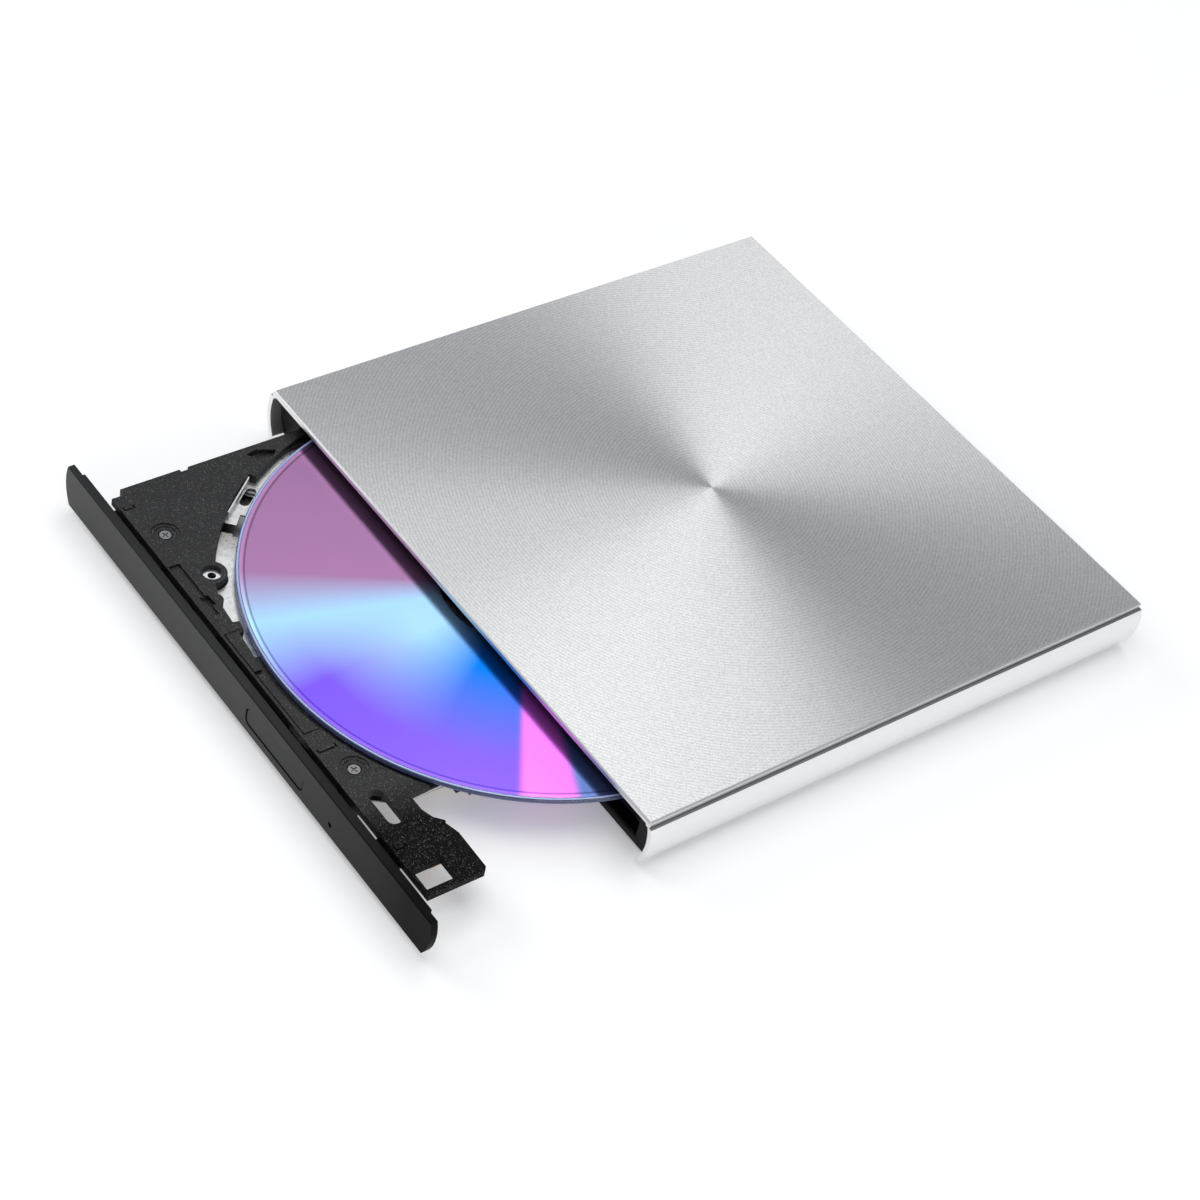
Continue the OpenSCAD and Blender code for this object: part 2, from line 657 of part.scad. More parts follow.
module grip_ring() {
  color([0.05, 0.05, 0.05]) in_tray() at_spin() difference() {
    rod(11.4, disc_low - 0.12, disc_low, round_fn);
    rod(9.4, 0, 20, round_fn);
  }
}
module disc() {
  color([0.55, 0.45, 0.75]) in_tray() at_spin() difference() {
    rod(disc_r, disc_low, disc_low + disc_t, 180);
    rod(disc_bore_r, 0, 20, round_fn);
  }
}

module guide_rods() {
  color([0.85, 0.85, 0.86]) pick_frame() for (s = [-1, 1])
    translate([rod_from, s * rod_x, rod_z]) rotate([0, 90, 0]) rod(rod_r, 0, rod_len);
}
module rod_clips() {
  color([0.12, 0.12, 0.13]) pick_frame() for (s = [-1, 1], x = [rod_from + 0.4, rod_from + rod_len - 2.2])
    translate([x, s * rod_x, 0]) difference() {
      box([0, -1.9, under_z + under_t], [1.8, 1.9, 6.7]);
      translate([-eps, 0, rod_z]) rotate([0, 90, 0]) rod(rod_r + 0.05, 0, 5);
    }
}
sled_z0 = 3.7;
sled_z1 = 6.65;
module pickup_sled() {
  color([0.3, 0.3, 0.32]) pick_frame() difference() {
    union() {
      box([lens_at - 13, -11, 3.9], [lens_at + 5, 11, 6.5]);
      for (y = [-15, 10]) box([lens_at - 9, y, sled_z0], [lens_at + 3, y + 5, sled_z1]);
      // nut finger that rides on the lead screw
      box([lens_at - 6, screw_y + screw_r + 0.15, 4.6], [lens_at - 3, -14.9, 6.1]);
    }
    for (s = [-1, 1]) translate([lens_at - 15, s * rod_x, rod_z]) rotate([0, 90, 0]) rod(1.32, 0, 30);
    translate([lens_at - 24, 0, 0]) rod(12.6, 0, 20, round_fn);
    // well for the lens holder and seat of the laser module
    box([lens_at - 4.4, -6.2, 4.7], [lens_at + 4.2, 6.2, 20]);
    box([lens_at - 8.4, 6.8, 4.5], [lens_at - 2, 10.6, 20]);
  }
}
module rod_bushes() {
  color([0.85, 0.8, 0.55]) pick_frame() for (s = [-1, 1], x = [lens_at - 8.8, lens_at + 0.6])
    translate([x, s * rod_x, rod_z]) rotate([0, 90, 0]) difference() {
      rod(1.3, 0, 2.2);
      rod(rod_r + 0.06, -eps, 5);
    }
}
module laser_module() {
  color([0.7, 0.55, 0.25]) pick_frame() box([lens_at - 8.2, 7, 4.6], [lens_at - 2.2, 10.4, 6.4]);
}
module lens_holder() {
  color([0.1, 0.1, 0.1]) pick_frame() difference() {
    union() {
      box([lens_at - 3.4, -4.6, 5.1], [lens_at + 3.2, 4.6, 6.3]);
      translate([lens_at, 0, 0]) rod(3.1, 6.2, 7.3);
    }
    translate([lens_at, 0, 0]) rod(lens_r + 0.02, 5.9, 20);
  }
}
module objective_lens() {
  color([0.5, 0.6, 0.85, 0.6]) pick_frame() translate([lens_at, 0, 0]) {
    rod(lens_r, 5.9, 6.8);
    translate([0, 0, 6.8]) cylinder(r1 = lens_r, r2 = 1.1, h = 0.6, $fn = small_fn);
  }
}
screw_from = 13;
screw_len = 42;
module lead_screw() {
  color([0.8, 0.8, 0.82]) pick_frame() translate([screw_from, screw_y, rod_z]) rotate([0, 90, 0])
    rod(screw_r, 0.5, screw_len + 1);
}
module stepper_motor() {
  color([0.6, 0.6, 0.62]) pick_frame() translate([screw_from + screw_len, screw_y, rod_z])
    rotate([0, 90, 0]) difference() {
      union() {
        rod(1.5, 0.6, 8);
        rod(1.2, 8, 8.6);
      }
      rod(0.97, -eps, 3);
    }
}
module screw_bearing() {
  color([0.75, 0.7, 0.45]) pick_frame() difference() {
    box([screw_from - 0.6, screw_y - 1.6, under_z + under_t], [screw_from + 1.8, screw_y + 1.6, 6.7]);
    translate([screw_from, screw_y, rod_z]) rotate([0, 90, 0]) rod(0.96, 0.3, 5);
  }
}

// Latch under the tray's leg. The post on the chassis stands in front of the hook
// when the tray is closed and the lever is turned home; it is drawn released.
latch_at = [46.6, -52.4];
latch_turn = 16;
post_at = [48.85, -58.6];
plunger_y = -54.7;
plunger_z = 5.6;
module latch_post() {
  color([0.7, 0.7, 0.7]) translate([post_at[0], post_at[1], 0]) {
    rod(0.6, pan_z + sheet, plunger_z - 0.9);
    rod(1.3, pan_z + sheet, pan_z + sheet + 0.3);
  }
}
module solenoid_coil() {
  color([0.75, 0.4, 0.15]) in_tray() difference() {
    box([49.6, plunger_y - 1.5, 4.1], [53, plunger_y + 1.5, 7.46]);
    translate([49, plunger_y, plunger_z]) rotate([0, 90, 0]) rod(0.76, 0, 10);
  }
}
module solenoid_plunger() {
  color([0.7, 0.7, 0.72]) in_tray() translate([46.85, plunger_y, plunger_z])
    rotate([0, 90, 0]) rod(0.7, 0, 3.95);
}
module latch_lever() {
  color([0.12, 0.12, 0.13]) in_tray() translate([latch_at[0], latch_at[1], 0]) rotate([0, 0, -latch_turn])
    difference() {
      union() {
        rod(1.5, 3.6, 6.2);
        // arm, the hook at its end and the tab that the plunger pushes
        box([-0.7, -5.2, 3.6], [0.7, 0, 4.6]);
        box([0, -5.2, 3.6], [2.6, -4.2, 4.6]);
        box([-0.7, -3, 3.6], [0.7, -1.2, 6.2]);
      }
      rod(0.86, 0, 20);
    }
}
module front_pcb() {
  color([0.05, 0.25, 0.12]) in_tray() box([4, switch_y + 0.1, 4.8], [22, switch_y + 3.2, 5.38]);
}
module eject_switch() {
  color([0.75, 0.75, 0.72]) in_tray() {
    box([11.6, switch_y + 0.3, 5.39], [16.4, switch_y + 2, 6.8]);
    box([13.2, switch_y, 5.8], [14.8, switch_y + 0.4, 6.5]);
  }
}
module tray_flex() {
  color([0.55, 0.33, 0.1]) in_tray() box([20, -46, under_z - 0.13], [34, -20, under_z - 0.01]);
}

top_cover();
bottom_cover();
front_frame();
rubber_feet();
case_screws();
chassis_pan();
chassis_lid();
chassis_screws();
left_guide();
right_guide();
main_pcb();
main_chips();
sata_plug();
bridge_pcb();
bridge_chip();
sata_receptacle();
usb_shell();
usb_tongue();
flex_cable();
latch_post();
left_rail();
right_rail();
tray_moulding();
bezel();
deck_plate();
tray_bottom();
tray_screws();
tray_boss();
spindle_stator();
guide_rods();
rod_clips();
stepper_motor();
screw_bearing();
solenoid_coil();
front_pcb();
eject_switch();
tray_flex();
disc();
turntable();
clamp_balls();
grip_ring();
pickup_sled();
rod_bushes();
laser_module();
lens_holder();
objective_lens();
lead_screw();
eject_button();
latch_lever();
solenoid_plunger();
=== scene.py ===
"""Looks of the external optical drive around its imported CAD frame: materials, the disc, light and camera."""
import json
import math

import bmesh
import bpy
from mathutils import Matrix, Vector


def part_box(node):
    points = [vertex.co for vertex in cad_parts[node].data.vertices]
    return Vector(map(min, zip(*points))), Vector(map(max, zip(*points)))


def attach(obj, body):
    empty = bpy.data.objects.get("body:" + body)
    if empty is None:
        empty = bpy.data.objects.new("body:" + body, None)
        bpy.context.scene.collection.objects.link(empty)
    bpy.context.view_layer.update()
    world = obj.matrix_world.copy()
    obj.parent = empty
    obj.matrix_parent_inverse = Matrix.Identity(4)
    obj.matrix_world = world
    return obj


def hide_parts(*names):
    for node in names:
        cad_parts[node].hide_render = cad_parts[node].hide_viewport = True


MM = 0.001

# Camera: heading from -Y towards +X, elevation and roll in degrees, then millimetres.
CAMERA_ANGLES = (44.67, 43.62, 13.38)
CAMERA_TARGET = (5.2, -30.1, 0)
CAMERA_DISTANCE = 622.7
SENSOR_WIDTH = 36
LENS = 86.96

# Floor, in metres.
FLOOR_HALF = 3.0
FLOOR_DROP = 0.05 * MM

# Soft boxes, in metres: name, place, size, watts and the point aimed at.
LIGHTS = [("overhead", (-0.1, 0.0, 0.9), (0.95, 0.85), 4.4, (0, 0, 0)),
          ("sheen", (-0.65, 0.43, 0.87), (0.35, 0.3), 0.3, (0, -0.09, 0)),
          ("left_fill", (-1.1, -0.5, 0.7), (0.8, 0.6), 4.2, (0, 0, 0)),
          ("right_fill", (1.3, -0.25, 0.45), (0.7, 0.5), 5, (0, 0, 0))]

# Cover, in millimetres: turned grooves of the top face, and how far below it the side grooves lie.
SPIN_CENTRE = (-1.8, 2.8)
GROOVE_PITCH = 0.8
GROOVE_DEPTHS = (0.9, 1.6)
SPUN_FACE, SHADED_GROOVE = 1, 2

# Disc, in millimetres.
DISC_BORE = 7.5
BORE_CHAMFER = 0.15
STACKING_RING = (16.5, 17.6)
RING_DEPTH = 0.12
DATA_IN = 17.9
DATA_MARGIN = 0.8
RIM_ROUNDING = 0.35
DISC_STEPS = 288
MIRROR, CLEAR_RIM, CLEAR_HUB, EDGE_LINE = range(4)

# Colours of the disc's sheen.
MAUVE = (0.4, 0.2, 0.4)
SKY = (0.4, 0.7, 1.0)
AZURE = (0.0, 0.2, 0.8)
VIOLET = (0.2, 0.1, 0.9)
MAGENTA = (0.9, 0.2, 1.0)
SLATE = (0.1, 0.2, 0.5)

# Bands of the sheen: heading in degrees past -X towards -Y, colour near the hub, colour near the rim.
SHEEN = [(0, MAUVE, MAUVE), (60, MAUVE, MAUVE), (75, SKY, SKY), (95, SKY, VIOLET), (125, AZURE, VIOLET),
         (144, AZURE, VIOLET), (146, MAGENTA, MAGENTA), (155, MAGENTA, MAGENTA), (157, SLATE, SLATE),
         (180, MAUVE, MAUVE)]

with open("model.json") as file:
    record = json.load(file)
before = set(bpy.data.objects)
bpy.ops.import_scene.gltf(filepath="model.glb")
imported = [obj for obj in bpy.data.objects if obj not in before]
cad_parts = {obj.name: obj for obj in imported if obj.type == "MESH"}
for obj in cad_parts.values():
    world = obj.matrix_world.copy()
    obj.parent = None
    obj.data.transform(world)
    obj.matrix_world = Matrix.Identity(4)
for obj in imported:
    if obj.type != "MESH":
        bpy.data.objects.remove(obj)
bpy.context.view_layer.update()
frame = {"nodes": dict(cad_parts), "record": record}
nodes = frame["nodes"]
disc_low, disc_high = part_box("disc")
disc_centre = ((disc_low.x + disc_high.x) / 2 / MM, (disc_low.y + disc_high.y) / 2 / MM)
disc_radius = (disc_high.x - disc_low.x) / 2 / MM


# ---------------------------------------------------------------- camera

def make_camera():
    """Camera above the near corner, turned about its own line of sight by the roll."""
    heading, elevation, roll = (math.radians(angle) for angle in CAMERA_ANGLES)
    back = Vector((math.sin(heading) * math.cos(elevation),
                   -math.cos(heading) * math.cos(elevation), math.sin(elevation)))
    flat_right = Vector((math.cos(heading), math.sin(heading), 0))
    flat_up = back.cross(flat_right)
    right = flat_right * math.cos(roll) + flat_up * math.sin(roll)
    up = flat_up * math.cos(roll) - flat_right * math.sin(roll)
    data = bpy.data.cameras.new("camera")
    data.sensor_width = SENSOR_WIDTH
    data.lens = LENS
    data.clip_start = 0.01
    camera = bpy.data.objects.new("camera", data)
    bpy.context.scene.collection.objects.link(camera)
    turn = Matrix((right, up, back)).transposed().to_4x4()
    camera.matrix_world = Matrix.Translation((Vector(CAMERA_TARGET) + back * CAMERA_DISTANCE) * MM) @ turn
    bpy.context.scene.camera = camera


# ---------------------------------------------------------------- stage and light

def add_area(name, place, size, power, aim):
    """A soft box of size (x, y) metres at place, pointed at aim."""
    data = bpy.data.lights.new(name, "AREA")
    data.shape = "RECTANGLE"
    data.size, data.size_y = size
    data.energy = power
    light = bpy.data.objects.new(name, data)
    light.location = place
    light.rotation_euler = (Vector(place) - Vector(aim)).to_track_quat("Z", "Y").to_euler()
    bpy.context.scene.collection.objects.link(light)


def make_stage():
    """Pale floor, soft world light and soft boxes."""
    mesh = bpy.data.meshes.new("floor")
    corners = [(x * FLOOR_HALF, y * FLOOR_HALF, 0) for x, y in ((-1, -1), (1, -1), (1, 1), (-1, 1))]
    mesh.from_pydata(corners, [], [(0, 1, 2, 3)])
    floor = bpy.data.objects.new("floor", mesh)
    floor.location.z = -FLOOR_DROP
    bpy.context.scene.collection.objects.link(floor)
    values = {"Base Color": (0.86, 0.86, 0.86, 1), "Roughness": 0.9, "Specular IOR Level": 0.1,
              "Emission Color": (1, 1, 1, 1), "Emission Strength": 0.25}
    paint = Paint("floor_paper", values)
    mesh.materials.append(paint.material)

    world = bpy.data.worlds.new("studio")
    world.use_nodes = True
    background = world.node_tree.nodes["Background"].inputs
    background["Color"].default_value = (0.9, 0.94, 1.0, 1)
    background["Strength"].default_value = 0.35
    bpy.context.scene.world = world
    for light in LIGHTS:
        add_area(*light)


# ---------------------------------------------------------------- materials

class Paint:
    """One procedural material: a Principled shader and short calls that add and join nodes."""

    def __init__(self, name, values):
        self.material = bpy.data.materials.new(name)
        self.material.use_nodes = True
        self.tree = self.material.node_tree
        self.shader = self.tree.nodes["Principled BSDF"]
        for socket, value in values.items():
            self.shader.inputs[socket].default_value = value

    def add(self, kind, inputs=None, **settings):
        """New node of a kind, with its inputs set or linked."""
        node = self.tree.nodes.new("ShaderNode" + kind)
        for key, value in settings.items():
            setattr(node, key, value)
        for key, value in (inputs or {}).items():
            self.put(value, node.inputs[key])
        return node

    def put(self, value, socket):
        """Links an output, or sets a plain value."""
        if isinstance(value, bpy.types.NodeSocket):
            self.tree.links.new(value, socket)
        else:
            socket.default_value = value

    def math(self, operation, *values):
        """Output of a Math node."""
        return self.add("Math", dict(enumerate(values)), operation=operation).outputs[0]

    def ramp(self, factor, stops):
        """Colour ramp. stops are (position, grey) or (position, (r, g, b))."""
        node = self.add("ValToRGB", {0: factor})
        elements = node.color_ramp.elements
        while len(elements) < len(stops):
            elements.new(0.5)
        for element, (position, _) in zip(elements, stops):
            element.position = position
        for element, (_, colour) in zip(elements, stops):
            rgb = (colour,) * 3 if isinstance(colour, (int, float)) else colour
            element.color = (*rgb, 1)
        return node.outputs["Color"]

    def mix(self, factor, a, b, blend="MIX"):
        """Colour mixed from a and b by factor."""
        node = self.add("Mix", data_type="RGBA", blend_type=blend)
        self.put(factor, node.inputs[0])
        for value, socket in ((a, node.inputs[6]), (b, node.inputs[7])):
            self.put((*value, 1) if isinstance(value, tuple) and len(value) == 3 else value, socket)
        return node.outputs[2]

    def place(self):
        """Object coordinates in millimetres."""
        at = self.add("TexCoord").outputs["Object"]
        return self.add("VectorMath", {0: at, "Scale": 1 / MM}, operation="SCALE").outputs[0]

    def noise(self, at, size, detail=2.0, rough=0.5):
        """Noise whose features are about size millimetres across."""
        inputs = {"Vector": at, "Scale": 1 / size, "Detail": detail, "Roughness": rough}
        return self.add("TexNoise", inputs).outputs["Fac"]

    def rings(self, radius, density, detail):
        """Noise that changes only with the radius, about density times per millimetre."""
        inputs = {"W": self.math("MULTIPLY", radius, density), "Scale": 1.0, "Detail": detail}
        return self.add("TexNoise", inputs, noise_dimensions="1D").outputs["Fac"]

    def bump(self, height, depth, normal=None):
        """Bump of depth millimetres for a height of 1."""
        node = self.add("Bump", {"Height": height, "Distance": depth * MM, "Strength": 1.0})
        if normal is not None:
            self.put(normal, node.inputs["Normal"])
        return node.outputs["Normal"]

    def rounded(self, radius):
        """Normal that rounds sharp edges to a radius in mm."""
        return self.add("Bevel", {"Radius": radius * MM}, samples=6).outputs[0]

    def to(self, socket, value):
        """Sets or links an input of the shader."""
        self.put(value, self.shader.inputs[socket])


def around(paint, at, centre):
    """Radius, x and y in millimetres from a vertical axis at centre."""
    parts = paint.add("SeparateXYZ", {0: at})
    x = paint.math("SUBTRACT", parts.outputs[0], centre[0])
    y = paint.math("SUBTRACT", parts.outputs[1], centre[1])
    radius = paint.math("SQRT", paint.math("ADD", paint.math("MULTIPLY", x, x), paint.math("MULTIPLY", y, y)))
    return radius, x, y


def across_grooves(paint, x, y):
    """Unit direction across the grooves about a vertical axis, in world space: light spreads along it."""
    flat = paint.add("CombineXYZ", {0: x, 1: y, 2: 0.0}).outputs[0]
    unit = paint.add("VectorMath", {0: flat}, operation="NORMALIZE").outputs[0]
    return paint.add("VectorTransform", {0: unit}, vector_type="VECTOR", convert_from="OBJECT",
                     convert_to="WORLD").outputs[0]


def spun_aluminium():
    """Top face: concentric turned grooves that spread the light across them."""
    paint = Paint("spun_aluminium", {"Metallic": 1.0, "Anisotropic": 0.82, "Roughness": 0.46})
    at = paint.place()
    radius, x, y = around(paint, at, SPIN_CENTRE)
    wander = paint.math("MULTIPLY", paint.noise(at, 9.0), 0.5)
    turns = paint.math("MULTIPLY", paint.math("ADD", radius, wander), 2 * math.pi / GROOVE_PITCH)
    groove = paint.math("SINE", turns)
    fine = paint.rings(radius, 9.0, 3.0)
    grain = paint.noise(at, 0.35, 1.0)
    height = paint.math("ADD", paint.math("MULTIPLY", groove, 0.5), paint.math("MULTIPLY", fine, 1.2))
    height = paint.math("ADD", height, paint.math("MULTIPLY", grain, 1.1))
    paint.to("Normal", paint.bump(height, 0.0045))
    blotch = paint.math("ADD", paint.math("MULTIPLY", groove, 0.12), paint.math("MULTIPLY", grain, 1.0))
    paint.to("Base Color", paint.ramp(blotch, [(0.25, 0.62), (0.75, 0.86)]))
    paint.to("Tangent", across_grooves(paint, x, y))
    return paint.material


def satin_aluminium():
    """Sides and edges of the cover: blasted and anodised."""
    paint = Paint("satin_aluminium", {"Metallic": 1.0})
    at = paint.place()
    grain = paint.noise(at, 0.16, 2.0)
    cloud = paint.noise(at, 14.0, 1.0)
    paint.to("Base Color", paint.ramp(grain, [(0.3, 0.8), (0.7, 0.88)]))
    paint.to("Roughness", paint.math("ADD", paint.math("MULTIPLY", cloud, 0.1), 0.33))
    paint.to("Normal", paint.bump(grain, 0.01, paint.rounded(0.25)))
    return paint.material


def moulded(name, colour, roughness, grain, depth, speck=0.0, gloss=0.5, dull_from=None):
    """Moulded plastic: spark-eroded grain of that size and depth in mm, with paler specks.

    dull_from is (X where the gloss starts to fall, X where a tenth of it is left) in mm.
    """
    paint = Paint(name, {"Roughness": roughness, "Specular IOR Level": gloss})
    at = paint.place()
    if dull_from:
        side = paint.add("SeparateXYZ", {0: at}).outputs[0]
        fade = {0: side, 1: dull_from[0], 2: dull_from[1], 3: gloss, 4: gloss / 10}
        paint.to("Specular IOR Level", paint.add("MapRange", fade).outputs[0])
    bumps = paint.noise(at, grain, 3.0, 0.6)
    wide = paint.noise(at, 22.0, 2.0)
    pale = tuple(min(c + speck, 1) for c in colour)
    mask = paint.ramp(bumps, [(0.59, 0.0), (0.67, 1.0)])
    base = paint.mix(mask, colour, pale)
    dust = paint.ramp(wide, [(0.3, 0.9), (0.7, 1.1)])
    paint.to("Base Color", paint.mix(1.0, base, dust, "MULTIPLY"))
    paint.to("Roughness", paint.math("ADD", paint.math("MULTIPLY", bumps, 0.2), roughness - 0.1))
    paint.to("Normal", paint.bump(bumps, depth, paint.rounded(0.1)))
    return paint.material


def rolled_steel(name, colour, roughness, spangle, depth=0.01, shaded_stretch=None):
    """Sheet steel with zinc spangles of that size in mm.

    Last argument: first and last heading of a fading stretch of painted shade, dark brown; degrees past -X
    from the spindle.
    """
    paint = Paint(name, {"Metallic": 1.0})
    at = paint.place()
    drift = paint.add("TexNoise", {"Vector": at, "Scale": 1 / spangle}).outputs["Color"]
    warp = paint.add("VectorMath", {0: at, 1: drift}, operation="ADD").outputs[0]
    cells = paint.add("TexVoronoi", {"Vector": warp, "Scale": 1 / spangle}, feature="SMOOTH_F1")
    shade = paint.math("ADD", paint.math("MULTIPLY", cells.outputs["Distance"], 0.5),
                       paint.math("MULTIPLY", paint.noise(at, spangle * 0.3, 3.0), 0.6))
    dark = tuple(c * 0.72 for c in colour)
    tone = paint.ramp(shade, [(0.25, dark), (0.75, colour)])
    # Painted shade: from the first heading the plate darkens to a mottled brownish black, which fades out by
    # the last.
    if shaded_stretch:
        _, x, y = around(paint, at, disc_centre)
        half_turns = paint.math("ADD", paint.math("DIVIDE", paint.math("ARCTAN2", y, x), math.pi), 1.0)
        wavy = paint.math("ADD", half_turns, paint.math("MULTIPLY", shade, 0.012))
        first, last = (angle / 180 for angle in shaded_stretch)
        painted_shade_amount = paint.ramp(wavy, [(first - 0.002, 0.0), (first, 0.85), (last, 0.0)])
        tone = paint.mix(painted_shade_amount, tone, paint.mix(shade, (0.02, 0.018, 0.016), (0.35, 0.3, 0.25)))
    paint.to("Base Color", tone)
    paint.to("Roughness", paint.ramp(shade, [(0.2, roughness - 0.08), (0.8, roughness + 0.12)]))
    paint.to("Normal", paint.bump(shade, depth))
    return paint.material


def bare_metal(name, colour, roughness, scratch=0.6):
    """Turned, cast or plated metal with faint scratches."""
    paint = Paint(name, {"Metallic": 1.0})
    at = paint.place()
    marks = paint.noise(at, scratch, 4.0, 0.65)
    paint.to("Base Color", paint.ramp(marks, [(0.3, tuple(c * 0.82 for c in colour)), (0.7, colour)]))
    paint.to("Roughness", paint.math("ADD", paint.math("MULTIPLY", marks, 0.15), roughness - 0.05))
    paint.to("Normal", paint.bump(marks, 0.004))
    return paint.material


def disc_colours(paint, x, y, radius):
    """Sheen of the data layer: bands of colour that fan out from the spindle, the same on both halves."""
    half_turns = paint.math("DIVIDE", paint.math("ARCTAN2", y, x), math.pi)
    share = paint.math("FRACT", paint.math("ADD", half_turns, 2.0))
    inner, outer = (paint.ramp(share, [(band[0] / 180, band[column]) for band in SHEEN]) for column in (1, 2))
    outward = paint.ramp(paint.math("DIVIDE", radius, disc_radius), [(0.45, 0.0), (0.85, 1.0)])
    return paint.mix(outward, inner, outer)


def data_layer():
    """Mirrored, finely tracked face of the disc under clear plastic."""
    paint = Paint("disc_data_layer", {"Metallic": 0.9, "Roughness": 0.2, "Specular IOR Level": 0.1})
    at = paint.place()
    radius, x, y = around(paint, at, disc_centre)
    colour = disc_colours(paint, x, y, radius)
    shade = paint.ramp(paint.rings(radius, 2.2, 4.0), [(0.3, 0.97), (0.7, 1.0)])
    line = paint.ramp(paint.math("DIVIDE", radius, disc_radius),
                      [(0.965, 1.0), (0.968, 0.45), (0.972, 0.45), (0.975, 1.25)])
    shade = paint.mix(1.0, shade, line, "MULTIPLY")
    paint.to("Base Color", paint.mix(1.0, colour, shade, "MULTIPLY"))
    return paint.material


def clear_plastic(name, tint, clarity=1.0):
    """Clear plastic of a tint; below a clarity of 1 it scatters part of the light."""
    paint = Paint(name, {"Transmission Weight": clarity, "IOR": 1.5, "Base Color": (*tint, 1)})
    at = paint.place()
    paint.to("Roughness", paint.math("MULTIPLY", paint.noise(at, 3.0), 0.08))
    return paint.material


def rubber():
    """Soft dark rubber of the feet."""
    paint = Paint("soft_rubber", {"Roughness": 0.85, "Specular IOR Level": 0.3})
    at = paint.place()
    grain = paint.noise(at, 0.3, 3.0)
    paint.to("Base Color", paint.ramp(grain, [(0.3, 0.012), (0.7, 0.03)]))
    paint.to("Normal", paint.bump(grain, 0.02))
    return paint.material


def circuit_board():
    """Solder mask with copper traces showing through."""
    paint = Paint("circuit_board", {"Roughness": 0.35, "Coat Weight": 0.4, "Coat Roughness": 0.2})
    at = paint.place()
    cells = paint.add("TexVoronoi", {"Vector": at, "Scale": 0.45}, distance="MANHATTAN",
                      feature="DISTANCE_TO_EDGE")
    traces = paint.ramp(cells.outputs["Distance"], [(0.05, 1.0), (0.12, 0.0)])
    paint.to("Base Color", paint.mix(traces, (0.006, 0.06, 0.02), (0.03, 0.16, 0.05)))
    paint.to("Normal", paint.bump(traces, 0.03))
    return paint.material


def flat_flex():
    """Flat ribbon: tan film over parallel copper tracks."""
    paint = Paint("flat_flex", {"Roughness": 0.4, "Coat Weight": 0.3})
    at = paint.place()
    across = paint.add("SeparateXYZ", {0: at}).outputs[0]
    stripe = paint.math("SINE", paint.math("MULTIPLY", across, 2 * math.pi / 0.8))
    mask = paint.ramp(stripe, [(0.3, 0.0), (0.6, 1.0)])
    paint.to("Base Color", paint.mix(mask, (0.23, 0.1, 0.03), (0.42, 0.2, 0.07)))
    paint.to("Normal", paint.bump(mask, 0.02))
    return paint.material


def make_materials():
    """Material for each slot of the record."""
    return {
        "silver_cover": satin_aluminium(),
        "case_black": moulded("case_plastic", (0.003, 0.003, 0.0032), 0.5, 0.25, 0.012, 0.006, 0.16),
        "bezel_black": moulded("bezel_plastic", (0.0045, 0.0045, 0.0048), 0.42, 0.18, 0.006, 0.004, 0.36,
                               (0, 62)),
        "tray_black": moulded("tray_plastic", (0.0045, 0.0045, 0.0048), 0.48, 0.26, 0.035, 0.13, 0.44,
                              (34, 44)),
        "inner_black": moulded("inner_plastic", (0.006, 0.006, 0.0065), 0.5, 0.3, 0.01, 0.01, 0.25),
        "rubber": rubber(),
        "sheet_steel": rolled_steel("sheet_steel", (0.5, 0.5, 0.5), 0.4, 2.0),
        # The galvanised plate carries a stretch of painted shade between headings 47.5 and 56.
        "galvanised": rolled_steel("galvanised_steel", (0.86, 0.86, 0.85), 0.3, 1.1, 0.05, (47.5, 56)),
        "bright_steel": bare_metal("bright_steel", (0.75, 0.75, 0.76), 0.18),
        "dark_screw": bare_metal("black_oxide", (0.035, 0.035, 0.038), 0.3),
        "motor_metal": bare_metal("motor_can", (0.6, 0.6, 0.61), 0.3),
        "cast_alloy": bare_metal("cast_alloy", (0.3, 0.3, 0.31), 0.45, 0.3),
        "brass": bare_metal("brass", (0.75, 0.55, 0.24), 0.3),
        "copper_coil": bare_metal("copper_wire", (0.75, 0.32, 0.14), 0.35, 0.15),
        "pcb_green": circuit_board(),
        "flex": flat_flex(),
        "lens": clear_plastic("lens_glass", (0.75, 0.8, 1.0)),
    }


# ---------------------------------------------------------------- pieces

def object_from(name, bm, body, materials):
    """Finished mesh object that rides on a body."""
    mesh = bpy.data.meshes.new(name)
    bm.to_mesh(mesh)
    bm.free()
    for material in materials:
        mesh.materials.append(material)
    made = bpy.data.objects.new(name, mesh)
    bpy.context.scene.collection.objects.link(made)
    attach(made, body)
    return made


def revolve(outline, centre, steps, zone_of):
    """bmesh of a closed (radius, height) outline in mm, turned about a vertical axis at centre.

    zone_of gives the material of a face from its mean radius.
    """
    bm = bmesh.new()
    rings = []
    for i in range(steps):
        angle = 2 * math.pi * i / steps
        points = [(centre[0] + r * math.cos(angle), centre[1] + r * math.sin(angle), z) for r, z in outline]
        rings.append([bm.verts.new((x * MM, y * MM, z * MM)) for x, y, z in points])
    count = len(outline)
    for i in range(steps):
        a, b = rings[i], rings[(i + 1) % steps]
        for j in range(count):
            k = (j + 1) % count
            face = bm.faces.new((a[j], b[j], b[k], a[k]))
            face.smooth = True
            face.material_index = zone_of((outline[j][0] + outline[k][0]) / 2)
    bmesh.ops.recalc_face_normals(bm, faces=bm.faces)
    return bm


def arc(centre_r, centre_z, radius, start, end, steps):
    """Points of an arc in the (radius, height) plane, angles in degrees."""
    angles = [math.radians(start + (end - start) * i / steps) for i in range(steps + 1)]
    return [(centre_r + radius * math.cos(a), centre_z + radius * math.sin(a)) for a in angles]


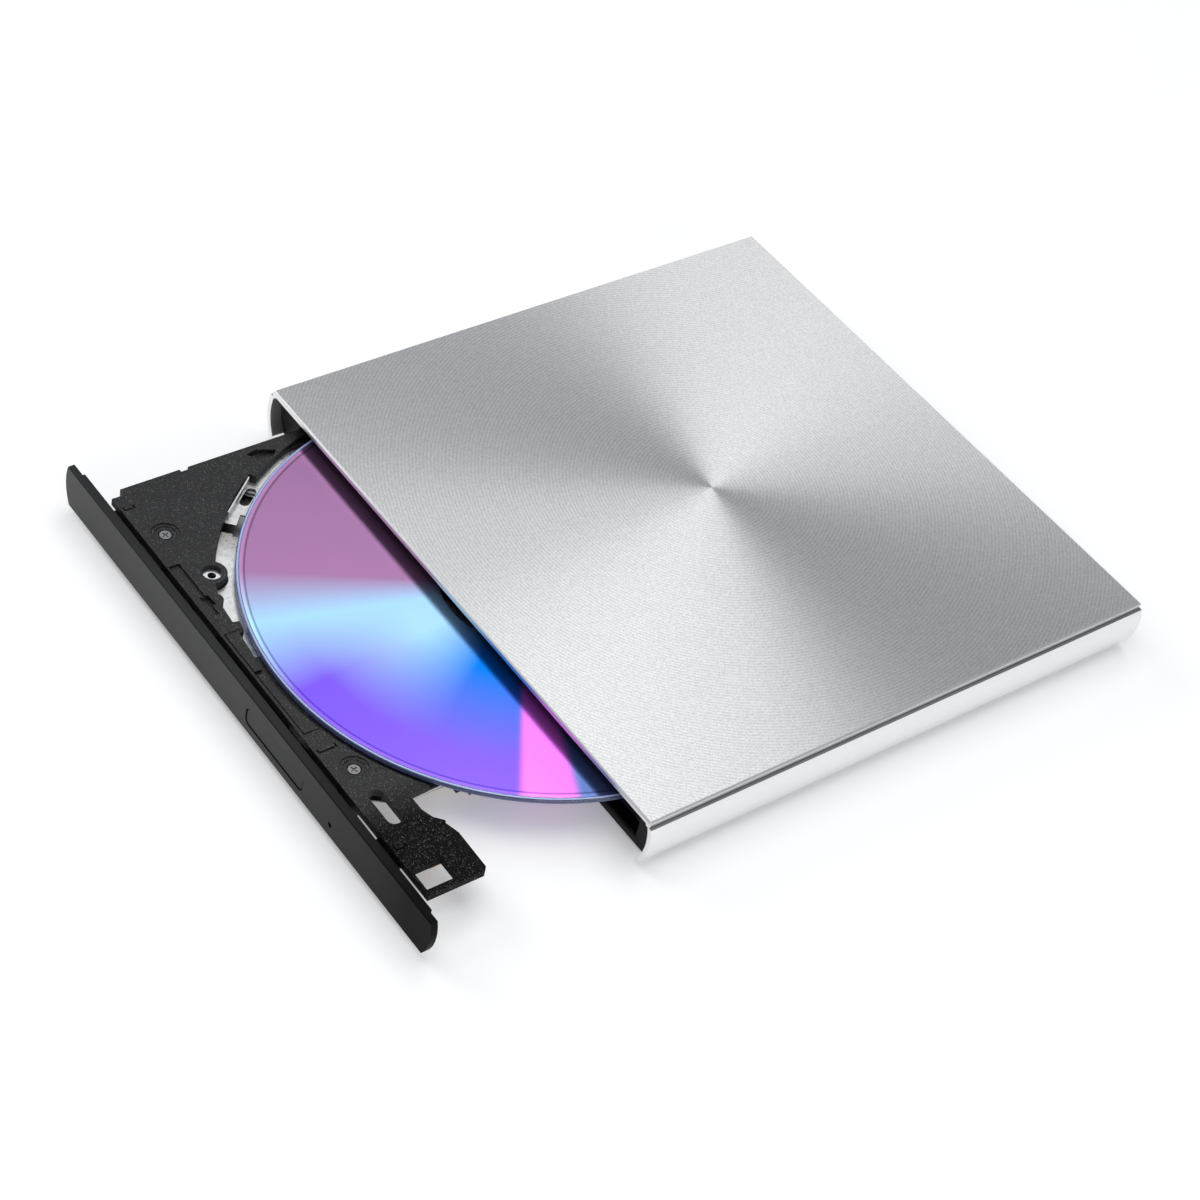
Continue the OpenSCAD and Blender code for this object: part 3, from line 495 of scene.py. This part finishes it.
def make_disc():
    """Platter with a rounded clear rim, a mirrored data layer and a clear hub with its stacking ring."""
    bottom, top = disc_low.z / MM, disc_high.z / MM
    data_out = disc_radius - DATA_MARGIN
    line_in, line_out = disc_radius - 0.6, disc_radius - RIM_ROUNDING + 0.1
    rim_at = disc_radius - RIM_ROUNDING
    ring_in, ring_out = STACKING_RING
    ring_floor = top - RING_DEPTH
    outline = [(DISC_BORE, bottom + BORE_CHAMFER)]
    outline += [(r, bottom) for r in (DISC_BORE + BORE_CHAMFER, 17.0, DATA_IN, data_out)]
    outline += arc(rim_at, bottom + RIM_ROUNDING, RIM_ROUNDING, -90, 0, 5)
    outline += arc(rim_at, top - RIM_ROUNDING, RIM_ROUNDING, 0, 90, 5)
    outline += [(r, top) for r in (line_in, data_out, 50.0, 40.0, 30.0, DATA_IN, ring_out)]
    outline += [(ring_out - 0.2, ring_floor), (ring_in + 0.4, ring_floor)]
    outline += [(ring_in, top), (DISC_BORE + BORE_CHAMFER, top), (DISC_BORE, top - BORE_CHAMFER)]

    def zone(radius):
        if line_in - 0.02 < radius < line_out:
            return EDGE_LINE
        if radius > data_out:
            return CLEAR_RIM
        return MIRROR if radius > DATA_IN else CLEAR_HUB

    bm = revolve(outline, disc_centre, DISC_STEPS, zone)
    disc = object_from("disc_platter", bm, "spindle",
                       [data_layer(), clear_plastic("disc_rim_clear", (0.35, 0.42, 0.75), 0.8),
                        clear_plastic("disc_hub_clear", (0.93, 0.93, 0.98)),
                        clear_plastic("disc_edge_line", (0.5, 0.62, 1.0), 0.2)])
    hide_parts("disc")


def dress_cad(materials):
    """Every CAD node takes its slot's material; the cover's top is spun and its side grooves are dark."""
    slots = {part["node"]: part["material_slot"] for part in frame["record"]["subparts"]}
    for name, made in nodes.items():
        if slots[name] not in materials:
            continue
        made.data.materials.clear()
        made.data.materials.append(materials[slots[name]])
    cover = nodes["top_cover"].data
    cover.materials.append(spun_aluminium())
    cover.materials.append(moulded("groove_shadow", (0.17, 0.17, 0.175), 0.6, 0.3, 0.01))
    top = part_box("top_cover")[1].z
    for face in cover.polygons:
        if face.normal.z > 0.99 and face.center.z > top - 0.05 * MM:
            face.material_index = SPUN_FACE
        if GROOVE_DEPTHS[0] < (top - face.center.z) / MM < GROOVE_DEPTHS[1] and abs(face.normal.z) > 0.2:
            face.material_index = SHADED_GROOVE


make_camera()
make_stage()
dress_cad(make_materials())
make_disc()
bpy.context.scene.view_settings.view_transform = "Standard"
